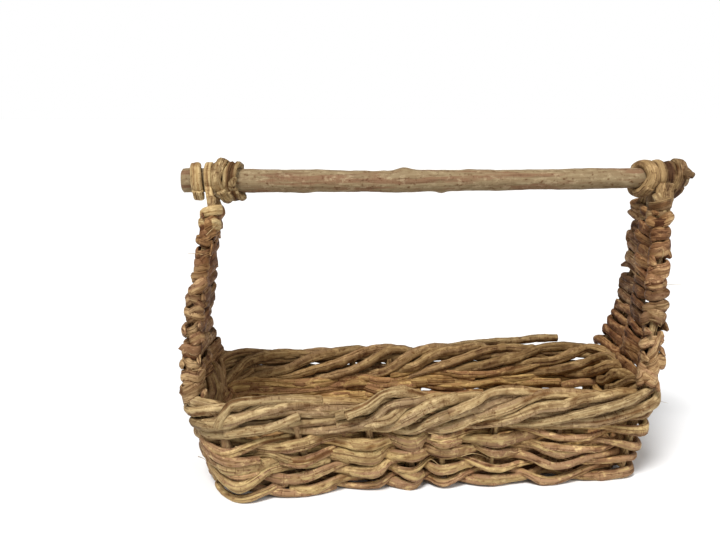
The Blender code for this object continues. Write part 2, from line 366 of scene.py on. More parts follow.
def remap(tree, value, low, high, to_low=0.0, to_high=1.0):
    made = node(tree, "ShaderNodeMapRange", clamp=True)
    tree.links.new(value, made.inputs["Value"])
    ends = {"From Min": low, "From Max": high, "To Min": to_low, "To Max": to_high}
    for name, number in ends.items():
        made.inputs[name].default_value = number
    return made.outputs["Result"]


def blend(tree, fac, a, b, mode="MIX"):
    """Mixes two colours, each a socket or a fixed colour."""
    made = node(tree, "ShaderNodeMix", data_type="RGBA", blend_type=mode)
    colours = [s for s in made.inputs if s.type == "RGBA"]
    for socket, value in ((made.inputs["Factor"], fac), (colours[0], a), (colours[1], b)):
        if isinstance(value, bpy.types.NodeSocket):
            tree.links.new(value, socket)
        elif socket.type == "VALUE":
            socket.default_value = value
        else:
            socket.default_value = (*value, 1.0)
    return next(s for s in made.outputs if s.type == "RGBA")


def maths(tree, operation, a, b):
    made = node(tree, "ShaderNodeMath", operation=operation)
    for socket, value in zip(made.inputs, (a, b)):
        if isinstance(value, bpy.types.NodeSocket):
            tree.links.new(value, socket)
        else:
            socket.default_value = value
    return made.outputs["Value"]


SPOT_TINT = (0.42, 0.24, 0.17)
LINE_TINT = (0.34, 0.24, 0.18)
CHECK_TINT = (0.40, 0.28, 0.22)
HOLLOW_SHADE_TINT = (0.38, 0.27, 0.20)
DARKEST, BRIGHTEST = 0.70, 1.25
BUMP_DISTANCE = 0.0018


def vine(name, pale, deep, bark, painted_inner_shade, bark_share=0.75, bump=0.8, short=1.0, lined=0.8,
         spotted=0.7):
    """Dry vine: pale wood with lengthwise fibres, bark, spots and cracks, darker on its inside face
    and in its hollows as painted shade.
    """
    material = bpy.data.materials.new(name)
    material.use_nodes = True
    tree = material.node_tree
    shader = tree.nodes["Principled BSDF"]
    grain = node(tree, "ShaderNodeAttribute", attribute_name="grain").outputs["Vector"]
    marks = node(tree, "ShaderNodeAttribute", attribute_name="tone")
    tone = node(tree, "ShaderNodeSeparateColor")
    tree.links.new(marks.outputs["Color"], tone.inputs["Color"])
    # Blue is the mask of painted shade on the inside face; alpha is the skin's relief, which paints
    # shade in hollows
    bright, barky, inside, hollow_shade_mask = *tone.outputs, marks.outputs["Alpha"]

    def multiply(colour, fac, by):
        return blend(tree, fac, colour, blend(tree, 1.0, colour, by, "MULTIPLY"))

    fibres = noise(tree, grain, (14 * short, 400), 4.0, 0.65)
    lines = noise(tree, grain, (9 * short, 620), 2.0, 0.5)
    strips = noise(tree, grain, (6 * short, 110), 3.0)
    blotch = noise(tree, grain, (95, 170), 4.0, 0.65)
    spots = noise(tree, grain, (190, 330), 3.0, 0.55)
    cross = noise(tree, grain, (760, 110), 2.0)
    colour = blend(tree, remap(tree, fibres, 0.40, 0.60), deep, pale)
    bark_edge = maths(tree, "ADD", strips, maths(tree, "MULTIPLY", barky, 0.20))
    colour = blend(tree, remap(tree, bark_edge, 0.58, 0.65, 0.0, bark_share), colour, bark)
    colour = blend(tree, remap(tree, blotch, 0.54, 0.62, 0.0, 0.75), colour, deep)
    peeled = tuple(min(channel * 1.28 + 0.02, 1.0) for channel in pale)
    colour = blend(tree, remap(tree, blotch, 0.45, 0.36, 0.0, 0.70), colour, peeled)
    colour = multiply(colour, remap(tree, spots, 0.60, 0.69, 0.0, spotted), SPOT_TINT)
    colour = multiply(colour, remap(tree, lines, 0.42, 0.34, 0.0, lined), LINE_TINT)
    checks = remap(tree, cross, 0.60, 0.68, 0.0, 0.875 * lined)
    clustered = maths(tree, "MULTIPLY", checks, remap(tree, strips, 0.44, 0.52))
    colour = multiply(colour, clustered, CHECK_TINT)
    # Painted shade in the rod's hollows and cracks, where its skin lies deep
    colour = multiply(colour, remap(tree, hollow_shade_mask, 0.50, 0.12), HOLLOW_SHADE_TINT)
    # Painted shade: the inside face of the weave is multiplied by a darker colour, by the blue mask
    colour = multiply(colour, maths(tree, "POWER", inside, 1.3), painted_inner_shade)
    shade = remap(tree, bright, 0.0, 1.0, DARKEST, BRIGHTEST)
    tint = node(tree, "ShaderNodeCombineColor")
    for socket in tint.inputs:
        tree.links.new(shade, socket)
    colour = blend(tree, 1.0, colour, tint.outputs["Color"], "MULTIPLY")
    tree.links.new(colour, shader.inputs["Base Color"])
    tree.links.new(remap(tree, blotch, 0.3, 0.7, 0.54, 0.84), shader.inputs["Roughness"])
    shader.inputs["Specular IOR Level"].default_value = 0.15
    ridges = maths(tree, "MULTIPLY", fibres, 0.8)
    lumps = maths(tree, "MULTIPLY", blotch, 0.8)
    grooves = maths(tree, "MULTIPLY", remap(tree, lines, 0.44, 0.32), 0.35)
    height = maths(tree, "SUBTRACT", maths(tree, "ADD", ridges, lumps), grooves)
    bumped = node(tree, "ShaderNodeBump")
    bumped.inputs["Strength"].default_value = bump
    bumped.inputs["Distance"].default_value = BUMP_DISTANCE
    tree.links.new(height, bumped.inputs["Height"])
    tree.links.new(bumped.outputs["Normal"], shader.inputs["Normal"])
    return material


# ---------------------------------------------------------------- the woven walls
# A stick's ends reach past its last stake, thinner and tucked up or down. Strands lie higher
# behind the stakes, and are thick on most of the back wall.
STRETCH = 0.36
END_TAPER = 0.85
ASIDE = 0.0030
BACK_LIFT = 0.0042
CROSS_LIFT = 0.0026
BACK_WALL = (14, 19)
BACK_TAPER = 1.08


def openness(u):
    """How wide the interval from a stake to the next is: 1 if wide, less if narrow."""
    gap = np.linalg.norm(tub_point(u + 1, 0.05, 0.0) - tub_point(u, 0.05, 0.0))
    return min(max(gap / WIDE_INTERVAL, 0.35), 1.0)


def strand_stop(u, z, out, half, grow):
    """A row for rod: a point of the wall and the strand's half size there."""
    return [*tub_point(u, z, out), half[0] * grow, half[1] * grow]


def pair_row(rng, z_row, twists, droops):
    """Both strands of a pairing row, as sticks that pass in front of every other stake."""
    sticks = []
    for strand in (0, 1):
        start = int(rng.integers(0, 5)) + strand * 2
        end = start + STAKES
        u = start
        while u < end:
            stop = min(u + int(rng.integers(4, 9)), end)
            if end - stop < 3:
                stop = end
            sticks.append(stick(rng, z_row, strand, u, stop, twists, droops))
            u = stop
    return sticks


def stick(rng, z_row, strand, start, stop, twists, droops):
    """One stick of a strand, from one stake to another, with its ends tucked aside."""
    sizes = [rng.uniform(0.66, 0.86), rng.uniform(0.9, 1.12), rng.uniform(0.95, 1.1)]
    grow = rng.choice(sizes)
    flat = rng.uniform(1.15, 1.42) if rng.uniform() < 0.33 and grow > 0.9 else 1.0
    calm = 1.0 if flat == 1.0 else 0.72
    lift = rng.uniform(-0.0012, 0.0012)
    rows = []
    tucks = rng.choice((0.15, 0.15, 0.9), 2)
    for u in range(start, stop + 1):
        front = (u + strand) % 2 == 0
        taper = grow * (1.08 - 0.16 * (u - start) / (stop - start)) * rng.uniform(0.92, 1.08)
        if BACK_WALL[0] < u % STAKES < BACK_WALL[1]:
            taper = max(taper, BACK_TAPER)
        rise = droops[u % STAKES] if front else BACK_LIFT + rng.uniform(-0.001, 0.001)
        z = z_row + lift + rise
        aside = 0.0
        if u in (start, stop):
            taper *= END_TAPER
            aside = ASIDE if u == start else -ASIDE
        out = FRONT_OUT + rng.uniform(-0.0008, 0.0016) if front else -FRONT_OUT
        half = (FRONT_HALF[0] / flat**0.6, FRONT_HALF[1] * flat * (1.0 if front else 0.9))
        low = half[1] * taper
        end_z = max(z + 1.3 * aside, low)
        if u == start:
            tip = (end_z, out * tucks[0], half, taper * END_TAPER)
            rows.append(strand_stop(u - STRETCH, *tip))
        rows.append(strand_stop(u, max(z + aside, low), out, half, taper))
        if u == stop:
            tip = (end_z, out * tucks[1], half, taper * END_TAPER)
            rows.append(strand_stop(u + STRETCH, *tip))
            break
        way = twists[u % STAKES] * (1 if front else -1)
        turn = way * rng.uniform(0.0026, 0.0062) * openness(u) * calm
        swing = z_row + lift + CROSS_LIFT + turn
        between = (CROSS_HALF[0], CROSS_HALF[1] * rng.uniform(0.9, 1.1) * flat)
        middle, depth = u + rng.uniform(0.42, 0.58), rng.uniform(-0.002, 0.002)
        rows.append(strand_stop(middle, max(swing, low), depth, between, taper))
    paler = np.interp((start + stop) / 2 % STAKES, PALER_AT, PALER)
    return rod(rng, rows, tone=(rng.uniform(0.12, 0.72) + paler, rng.uniform(0, 1)))


# The chance that the front strand rises at a stake, by the front left corner and elsewhere, and
# how far strands hang in front of the stakes
RISING_STAKES = (21, 0, 1, 2, 3)
RISING_CHANCE, OTHER_CHANCE = 0.72, 0.42
DROOP, DROOP_SPREAD, CORNER_DROOP = -0.0008, 0.0018, -0.0062


def weave_walls(material):
    """Rows of pairing, whose front strands mostly rise to the right by the front left corner."""
    rng = np.random.default_rng(11)
    rows = []
    for row in range(PAIR_ROWS):
        chances = np.array([RISING_CHANCE if u in RISING_STAKES else OTHER_CHANCE
                            for u in range(STAKES)])
        twists = np.where(rng.uniform(0, 1, STAKES) < chances, 1, -1)
        droops = rng.normal(DROOP, DROOP_SPREAD, STAKES)
        droops[0] = CORNER_DROOP
        rows.append(pair_row(rng, FIRST_ROW_Z + row * ROW_PITCH, twists, droops))
    names = [["foot"], ["weaver_1"], ["weaver_2"], ["weaver_3", "weaver_4"]]
    for i, (rods, stands_for) in enumerate(zip(rows, names)):
        nodes = [f"{name}_{side}" for name in stands_for for side in WALL_SIDES]
        rods += inner_rods(rng) if i == PAIR_ROWS - 1 else []
        rods += foot_shade_rods(rng) if i == 0 else []
        piece(f"wall_rods_{i + 1}", rods, material, nodes)


# Rods along the inner face of the back wall: height, and where each starts and stops round the tub
INNER_RODS = (
    (0.0400, 13.3, 18.2), (0.0500, 14.0, 18.3), (0.0600, 11.4, 14.7), (0.0605, 13.9, 18.2),
    (0.0690, 12.8, 16.2), (0.0700, 15.6, 18.4), (0.0760, 11.5, 15.2), (0.0300, 11.6, 18.3),
    (0.0455, 13.0, 18.5), (0.0555, 13.0, 18.5), (0.0650, 13.2, 18.5), (0.0220, 11.8, 18.3),
)
INNER_OUT = -0.0085
INNER_HALF = (0.0042, 0.0052)
CORE_ZS = (0.0080, 0.0170, 0.0260)
CORE_OUT = -0.0120
CORE_HALF = (0.0040, 0.0052)
CORE_STARTS = (0.1, 7.3, 11.3, 18.3)
CORE_REACH = 7.3


def inner_rods(rng):
    """Long rods inside the back wall, which leave a stretch open near its right end."""
    rods = []
    for z, start, stop in INNER_RODS:
        rows = []
        size = rng.uniform(0.8, 1.15)
        for u in np.arange(start, stop + 0.3, 0.5):
            sway = 0.0016 * math.cos(math.pi * u) + rng.normal(0, JITTER)
            spot = tub_point(u, z + sway + rng.normal(0, 0.0007), INNER_OUT + 1.4 * sway)
            rows.append([*spot, INNER_HALF[0] * size, INNER_HALF[1] * size])
        tone = (rng.uniform(0.5, 1.1), rng.uniform(0.2, 1))
        rods.append(rod(rng, rows, rough=0.8, tone=tone))
    return rods


def foot_shade_rods(rng):
    """Rods behind the foot of the wall, at the darkest tone and deep in the painted shade, which
    close the slits between its lowest rows.
    """
    rods = []
    for z in CORE_ZS:
        for start in CORE_STARTS:
            rows = []
            for u in np.arange(start, start + CORE_REACH, 0.5):
                spot = tub_point(u, z + rng.normal(0, JITTER), CORE_OUT + rng.normal(0, JITTER))
                rows.append([*spot, *CORE_HALF])
            # Painted shade: the darkest tone, so that the slits behind the foot look shaded
            rods.append(rod(rng, rows, tone=(0.0, 1.0)))
    return rods


def border_stick(rng, strand, start, stop):
    """One stick of a border strand, which winds round the middle of the border."""
    rows = []
    grow = rng.uniform(0.88, 1.16)
    for u in np.arange(start, stop + 0.01, 0.5):
        edge = min(u - start, stop - u)
        turns = u / BORDER_TWIST + strand / BORDER_STRANDS
        phase = 2 * math.pi * turns + rng.normal(0, 0.16)
        spread = rng.uniform(0.86, 1.12) * (0.72 if edge < 0.5 else 1.0)
        out = BORDER_SPREAD[0] * spread * math.cos(phase)
        z = BORDER_Z + BORDER_SPREAD[1] * spread * math.sin(phase)
        taper = grow * (0.8 if edge < 0.5 else 1.0)
        rows.append([*tub_point(u, z, out), BORDER_HALF[0] * taper, BORDER_HALF[1] * taper])
    return rod(rng, rows, tone=(rng.uniform(0.05, 0.65), rng.uniform(0, 1)))


# Single rods that stand off the border, as (place round the tub, height, distance outwards):
# three short arcs on the front, and one loose end at the back
RIM_ARCS = (
    ((0.02, 0.086, 0.013), (0.12, 0.100, 0.013), (0.30, 0.1095, 0.010), (0.75, 0.109, 0.004),
     (1.45, 0.103, -0.004)),
    ((1.75, 0.092, 0.014), (2.10, 0.102, 0.014), (2.50, 0.113, 0.010), (2.95, 0.114, 0.004),
     (3.60, 0.103, -0.002)),
    ((4.10, 0.091, 0.014), (4.55, 0.102, 0.014), (4.90, 0.112, 0.009), (5.30, 0.111, 0.003),
     (5.90, 0.101, -0.004)),
    ((14.2, 0.093, 0.008), (13.3, 0.101, 0.009), (12.4, 0.107, 0.006), (11.5, 0.1125, 0.001)),
)
BORDER_CORE_OFF = 0.006
BORDER_CORE_HALF = (0.0046, 0.0050)
BORDER_CORE_STARTS = (0.2, 7.4, 11.3, 18.4)


def rim_arcs(rng):
    rods = []
    for arc in RIM_ARCS:
        size = rng.uniform(0.0042, 0.0050)
        rows = [[*tub_point(u, z, out), size, size * 1.05] for u, z, out in arc]
        rods.append(rod(rng, rows, tone=(rng.uniform(0.3, 0.7), rng.uniform(0, 0.6))))
    return rods


def weave_border(material):
    """The rolled border in two pieces, each with three strands and a core rod in its middle."""
    rng = np.random.default_rng(23)
    groups = ([], [])
    for strand in range(BORDER_STRANDS):
        u = float(rng.integers(0, 6))
        end = u + STAKES
        while u < end:
            stop = min(u + float(rng.integers(5, 9)), end)
            if end - stop < 3:
                stop = end
            groups[strand % 2].append(border_stick(rng, strand, u - 0.4, stop + 0.3))
            u = stop
    for group, z in zip(groups, (BORDER_Z - BORDER_CORE_OFF, BORDER_Z + BORDER_CORE_OFF)):
        for start in BORDER_CORE_STARTS:
            rows = []
            for u in np.arange(start, start + CORE_REACH, 0.5):
                spot = tub_point(u, z + rng.normal(0, 0.0008), rng.normal(0, 0.001))
                rows.append([*spot, *BORDER_CORE_HALF])
            group.append(rod(rng, rows, tone=(0.25, rng.uniform(0.4, 1))))
    for i, rods in enumerate(groups):
        nodes = [f"border_{i + 1}_{side}" for side in WALL_SIDES]
        rods += rim_arcs(rng) if i == 1 else []
        piece(f"border_rods_{i + 1}", rods, material, nodes)


# ---------------------------------------------------------------- stakes, floor and panels
SHORT_STAKES = {"right": {"front": 8, "back": 10}, "left": {"front": 21, "back": 19}}


def rib_rods(material):
    """Each rib: down the front wall, under the floor and up the back wall."""
    rng = np.random.default_rng(31)
    size = (STAKE_RADIUS, STAKE_RADIUS)
    for i in range(RIBS):
        low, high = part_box(f"rib_{i + 1}")
        bend = low.z + STAKE_RADIUS
        down = (high.z - 0.010, 0.065, 0.035, bend + 0.006)
        rows = []
        for number, heights in ((i + 1, down), (17 - i, down[::-1])):
            for z in heights:
                rows.append([*(tub_point(number, z, 0.0) + rng.normal(0, JITTER, 3)), *size])
        front, back = np.array(rows[3][:3]), np.array(rows[4][:3])
        middle = [[*(front * (1 - t) + back * t)[:2], bend, *size]
                  for t in (0.04, 0.3, 0.5, 0.7, 0.96)]
        rows = rows[:4] + middle + rows[4:]
        tone = (rng.uniform(0.4, 0.9), rng.uniform(0, 1))
        made = rod(rng, rows, up=(1, 0, 0), sides=POST_SIDES, rough=0.9, tone=tone)
        piece(f"rib_rod_{i + 1}", [made], material, [f"rib_{i + 1}"])


def short_stake_rods(material):
    rng = np.random.default_rng(37)
    size = (STAKE_RADIUS, STAKE_RADIUS)
    for end, numbers in SHORT_STAKES.items():
        for label, number in numbers.items():
            name = f"{end}_short_stake_{label}"
            low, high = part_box(name)
            rows = []
            for z in np.linspace(low.z, high.z - 0.008, 5):
                rows.append([*(tub_point(number, z, 0.0) + rng.normal(0, JITTER, 3)), *size])
            tone = (rng.uniform(0.3, 0.8), rng.uniform(0, 1))
            made = rod(rng, rows, up=(0, 1, 0), sides=POST_SIDES, tone=tone)
            piece(f"{name}_rod", [made], material, [name])


def pole_axis():
    """The pole's two ends and its height, read where the first lashing holds it."""
    low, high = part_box("handle_pole")
    lashing_low, lashing_high = box_of("left_lashing_1")
    return low.x, high.x, (lashing_low[2] + lashing_high[2]) / 2


POLE_LEFT, POLE_RIGHT, POLE_Z = pole_axis()
# Each end's uprights are listed from the front: the place where each stands, and how far it leans
# along the tub by height. SLIM is how much slimmer an end's posts and strips are by height.
UPRIGHT_STAKES = {"left": (21.5, 20, 18), "right": (7, 9, 11)}
UPRIGHT_LABELS = (("front", -1), ("middle", 0), ("back", 1))
LEAN = {"left": ((0.0, -0.001, -0.008, -0.007, 0.0), (0.0, -0.006, -0.012, -0.008, 0.002),
                 (0.0, -0.012, -0.020, -0.014, -0.002)),
        "right": ((0.0, 0.0, 0.0, -0.003, -0.006), (0.0, 0.005, 0.009, 0.007, 0.001),
                  (0.0, 0.015, 0.027, 0.024, 0.009))}
LEAN_Z = (0.065, 0.105, 0.155, 0.210, 0.290)
SLIM_Z = (0.110, 0.150, 0.190, 0.240, 0.280)
SLIM = {"left": (1.0, 0.85, 0.78, 0.66, 0.78), "right": (1.0, 1.0, 1.0, 1.0, 1.0)}
RIGHT_TOP_INSET = 0.012
BOWED = 0.004


def panel_top_x(end):
    low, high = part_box(f"{end}_upright_middle")
    return (low.x + high.x) / 2 if end == "left" else high.x - RIGHT_TOP_INSET


def upright_point(end, place, z):
    """A point of an upright: place is -1 at the front, 0 in the middle and 1 at the back."""
    rim = RIM_RING[3]
    spot = tub_point(UPRIGHT_STAKES[end][place + 1], min(z, rim), 0.0)
    if z > rim:
        top = np.array((panel_top_x(end), place * PANEL_TOP_HALF_DEPTH, PANEL_TOP_Z))
        share = (z - rim) / (PANEL_TOP_Z - rim)
        bow = math.sin(math.pi * min(share, 1.0)) * BOWED * place
        spot = spot + (top - spot) * share + (0.0, bow, 0.0)
    return spot + (np.interp(z, LEAN_Z, LEAN[end][place + 1]), 0.0, 0.0)


def slimness(end, z):
    return np.interp(z, SLIM_Z, SLIM[end])


def upright_rods(material):
    """The uprights, drawn together under the pole, and the corner's own stake at the front left."""
    rng = np.random.default_rng(41)
    for end in ("left", "right"):
        for label, place in UPRIGHT_LABELS:
            name = f"{end}_upright_{label}"
            low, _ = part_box(name)
            rows = []
            for z in (low.z, 0.045, 0.080, 0.110, 0.150, 0.190, 0.230, 0.265, PANEL_TOP_Z):
                spot = upright_point(end, place, z) + rng.normal(0, JITTER, 3)
                thick = UPRIGHT_RADIUS * slimness(end, z)
                rows.append([*spot, thick, thick])
            rows.append([rows[-1][0], place * 0.026, POLE_Z - 0.017, 0.0046, 0.0046])
            tone = (rng.uniform(0.3, 0.8), rng.uniform(0, 1))
            rods = [rod(rng, rows, up=(1, 0, 0), sides=POST_SIDES, tone=tone)]
            if name == "left_upright_front":
                rows = [[*tub_point(0, z, 0.0), STAKE_RADIUS, STAKE_RADIUS]
                        for z in (low.z, 0.035, 0.065, 0.096)]
                rods.append(rod(rng, rows, up=(1, 0, 0), sides=POST_SIDES, tone=(0.6, 0.4)))
            piece(f"{name}_rod", rods, material, [name])


def panel_rods(end, rng):
    """The figure-of-eight weave of an end panel, in a few lengths whose ends stick out."""
    count = int((PANEL_TOP_Z + 0.006 - PANEL_FOOT_Z) / STRIP_PITCH)
    sticks, rows = [], []
    length = int(rng.integers(4, 7))
    for row in range(count):
        z = PANEL_FOOT_Z + row * STRIP_PITCH
        way = 1 if row % 2 == 0 else -1
        size = rng.uniform(0.85, 1.2)
        slim = slimness(end, z)
        reach = (STRIP_HALF[0] + UPRIGHT_RADIUS) * slim
        for place in (-way, 0, way):
            face = reach * (way if place else -way)
            height = z + rng.normal(0, 0.0014)
            post = upright_point(end, place, height)
            thick = STRIP_HALF[0] * slim * rng.uniform(0.8, 1.2)
            flat = (thick, STRIP_HALF[1] * size * rng.uniform(0.85, 1.15))
            if place == -way and not rows:
                off = (face * 1.3, -way * rng.uniform(0.009, 0.015), rng.uniform(-0.006, 0.001))
                rows.append([*(post + off), flat[0] * 0.5, flat[1] * 0.35])
            if place != -way:
                before = (np.array(rows[-1][:3]) + post + (face, 0, 0)) / 2
                rows.append([*(before - (0, 0, rng.uniform(0.0025, 0.0075))), *flat])
            lay = (face * rng.uniform(0.9, 1.45), rng.normal(0, 0.0016), 0)
            rows.append([*(post + lay), *flat])
        length -= 1
        post = upright_point(end, way, z + STRIP_PITCH / 2) + (0.0, rng.normal(0, 0.0012), 0.0)
        if length <= 0 or row == count - 1:
            off = (reach * way * 1.1, way * rng.uniform(0.010, 0.015), rng.uniform(-0.007, 0.001))
            rows.append([*(post + off), STRIP_HALF[0] * 0.5, STRIP_HALF[1] * 0.3])
            tone = (rng.uniform(0.1, 0.9), rng.uniform(0, 1))
            sticks.append(rod(rng, rows, sides=STRIP_SIDES, square=0.95, rough=1.35,
                              step=0.0020, tone=tone))
            rows = []
            length = int(rng.integers(4, 8))
            continue
        far = reach * rng.uniform(0.9, 1.35)
        post = post + (rng.normal(0, 0.0012), 0, 0)
        tilt = rng.normal(0.0015, 0.0025)
        thick = STRIP_HALF[0] * slim * rng.uniform(0.9, 1.25)
        tall = STRIP_HALF[1] * size * rng.uniform(1.0, 1.25)
        into, back = rng.uniform(0.45, 1.05, 2)
        for along, aside, rise in ((into, 0.72, -tilt), (0.0, 1.0, 0.0), (-back, 0.72, tilt)):
            rows.append([*(post + (reach * way * along, way * far * aside, rise)), thick, tall])
    return sticks


def knuckles(end, rng, count, bright):
    """Short extra turns round the front upright, each with its own slant."""
    rods = []
    for z in np.linspace(0.112, 0.282, count):
        z += rng.uniform(-0.004, 0.004)
        slant, start = rng.normal(0, 0.0045), rng.uniform(150, 210)
        size = rng.uniform(0.8, 1.15)
        slim = slimness(end, z)
        rows = []
        for angle in np.radians(np.linspace(start, start + rng.uniform(170, 260), 8)):
            radius = (UPRIGHT_RADIUS + 0.0042) * slim * (1.0 + 0.12 * math.sin(2 * angle))
            spot = upright_point(end, -1, z)
            spot += (radius * math.cos(angle), radius * math.sin(angle), slant * math.cos(angle))
            rows.append([*spot, 0.0032 * size * slim, 0.0056 * size])
        tone = (rng.uniform(*bright), rng.uniform(0, 1))
        rods.append(rod(rng, rows, sides=STRIP_SIDES, square=0.8, rough=1.5, step=FINE_STEP,
                        tone=tone))
    return rods


# Seed, end, count of extra turns, and the range of their brightness
PANELS = ((53, "left", 12, (0.0, 0.55)), (59, "right", 6, (0.1, 0.8)))


def weave_panels(material):
    for seed, end, extra, bright in PANELS:
        rng = np.random.default_rng(seed)
        rods = panel_rods(end, rng) + knuckles(end, rng, extra, bright)
        middle = upright_point(end, 0, 0.2)[0]
        way = 1 if end == "left" else -1

        def shade(points):
            # Painted shade: 1 on the panel's inside face, behind its front edge, where the colour
            # is darker
            painted_inner_shade = np.clip((way * (points[:, 0] - middle) + 0.004) / 0.010, 0, 1)
            return painted_inner_shade * np.clip((points[:, 1] + 0.078) / 0.020, 0, 1)

        nodes = [f"{end}_panel_weave"]
        piece(f"{end}_panel_strips", rods, material, nodes, shade)


FLOOR_RODS = 5
FLOOR_PITCH = 0.0125
FLOOR_HALF = (0.0056, 0.0046)
FLOOR_WAVE = 0.0082
FLOOR_REACH = 0.011


def floor_mat(material):
    """Lengthwise rods woven over and under the ribs; each CAD floor rod becomes a pair of them."""
    rng = np.random.default_rng(61)
    low, high = box_of(*[f"floor_rod_{i + 1}" for i in range(FLOOR_RODS)])
    boxes = [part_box(f"rib_{i + 1}") for i in range(RIBS)]
    level = boxes[0][0].z + STAKE_RADIUS
    ribs = sorted((rib_low.x + rib_high.x) / 2 for rib_low, rib_high in boxes)
    for number in range(FLOOR_RODS):
        rods = []
        for i in (number * 2, number * 2 + 1):
            y = (i - (FLOOR_RODS - 0.5)) * FLOOR_PITCH
            rows = []
            for j, x in enumerate([low[0] - FLOOR_REACH, *ribs, high[0] + FLOOR_REACH]):
                over = 1 if (i + j) % 2 else -1
                spot = (x, y + rng.normal(0, JITTER), level + over * FLOOR_WAVE)
                rows.append([*spot, *FLOOR_HALF])
            rods.append(rod(rng, rows, tone=(rng.uniform(0.2, 0.8), rng.uniform(0, 1))))
        nodes = [f"floor_rod_{number + 1}"]
        piece(f"floor_rods_{number + 1}", rods, material, nodes)


# ---------------------------------------------------------------- pole and lashings
POLE_RADII = (0.0128, 0.0018)  # at the left end, and how much less at the right one
POLE_SAG = 0.0022
# Each knot: where it is along the pole, which way it faces (1 up, -1 down), height and width
KNOTS = ((-0.040, 1.0, 0.0036, 0.011), (0.002, -1.0, 0.0022, 0.005), (-0.150, -0.9, 0.0012, 0.009))

# Each band: its place on the pole, how far its foot is beside that, half size, roughness, tone,
# whether it goes down to the uprights (or round the pole), and how much it slants
BANDS = {
    "left": ((-0.2645, 0.0020, (0.0040, 0.0058), 0.6, (0.85, 0.0), False, -0.002),
             (-0.2500, 0.0025, (0.0037, 0.0043), 0.6, (0.80, 0.0), True, 0.0),
             (-0.2380, 0.0060, (0.0047, 0.0064), 1.6, (0.40, 0.8), False, 0.004),
             (-0.2255, 0.0045, (0.0046, 0.0058), 1.7, (0.30, 0.9), False, 0.003)),
    "right": ((0.2310, -0.0050, (0.0050, 0.0074), 0.7, (0.75, 0.0), False, -0.004),
              (0.2455, -0.0030, (0.0044, 0.0050), 0.7, (0.60, 0.1), True, -0.001),
              (0.2560, 0.0040, (0.0044, 0.0054), 1.4, (0.25, 0.5), True, 0.0),
              (0.2690, -0.0050, (0.0054, 0.0070), 1.4, (0.35, 0.5), False, 0.002)),
}
# The turns below the pole: the tone of each, the height of the upper one, and their half width
TURNS = {"left": (((0.9, 0.0), (0.75, 0.2)), 0.2940, 0.0084),
         "right": (((0.5, 0.4), (0.4, 0.5)), 0.2965, 0.0098)}
TURN_PITCH = 0.0125
CUT_ENDS = {"left": (-0.2240, POLE_Z - 0.003), "right": (0.2705, POLE_Z + 0.005)}


def pole_radius(x):
    share = (x - POLE_LEFT) / (POLE_RIGHT - POLE_LEFT)
    return POLE_RADII[0] - POLE_RADII[1] * share


def pole(material):
    rng = np.random.default_rng(71)
    rows = []
    for x in np.linspace(POLE_LEFT + 0.002, POLE_RIGHT - 0.002, 15):
        share = (x - POLE_LEFT) / (POLE_RIGHT - POLE_LEFT)
        radius = pole_radius(x) + rng.normal(0, 0.00018)
        sag = POLE_SAG * math.sin(math.pi * share) ** 2
        y, z = rng.normal(0, JITTER), POLE_Z - sag + rng.normal(0, 0.0005)
        rows.append([x, y, z, radius, radius])
    made = rod(rng, rows, sides=32, rough=0.22, tone=(0.5, 0.3), step=0.003)
    rings, axis = made["rings"], np.array(made["rings"].mean(axis=1))
    for x, high, size, spread in KNOTS:
        away = rings - axis[:, None, :]
        unit = away / np.linalg.norm(away, axis=2, keepdims=True)
        facing = np.clip(unit[..., 2] * high - unit[..., 1] * (1 - abs(high)), 0, 1)
        near = np.exp(-(((rings[..., 0] - x) / spread) ** 2)) * facing
        rings += unit * (near * size)[..., None]
    piece("pole_branch", [made], material, ["handle_pole"])


def band(rng, end, x_top, x_foot, half, rough, tone, legs, lean):
    """A band over the pole: down in front and behind it, or a full turn over its own start."""
    radius = pole_radius(x_top) + half[0] * 0.96
    rows = []
    angles = np.radians(np.linspace(205, -25, 9) if legs else np.linspace(275, -150, 15))
    feet = [upright_point(end, place, PANEL_TOP_Z) + (x_foot, 0.0, 0.0) for place in (-1, 1)]
    knees = [foot * 0.55 + np.array((x_top, 0.45 * foot[1], POLE_Z - 0.010)) * 0.45
             for foot in feet]
    if legs:
        rows += [[*feet[0], *half], [*knees[0], *half]]
    for i, angle in enumerate(angles):
        swell = 1.0 + (0.10 if not legs and i > 10 else 0.0)
        sway = 0.0 if legs else x_foot * max(0.0, -math.sin(angle))
        x = x_top + lean * math.cos(angle) + sway
        y, z = radius * swell * math.cos(angle), POLE_Z + radius * swell * math.sin(angle)
        rows.append([x, y, z, *half])
    if legs:
        rows += [[*knees[1], *half], [*feet[1], *half]]
    return rod(rng, rows, up=(1, 0, 0), rough=rough, sides=18, square=0.85, tone=tone,
               step=FINE_STEP)


def cut_end(rng, end):
    """The cut end of a lashing, which sticks out in front of the pole."""
    x, z = CUT_ENDS[end]
    reach = pole_radius(x)
    rows = [[x + 0.001, -reach - 0.002, z + 0.004, 0.0046, 0.0046],
            [x, -reach - 0.010, z, 0.0048, 0.0048],
            [x, -reach - 0.018, z - 0.001, 0.0046, 0.0046]]
    return rod(rng, rows, rough=1.2, tone=(0.1, 1.0))


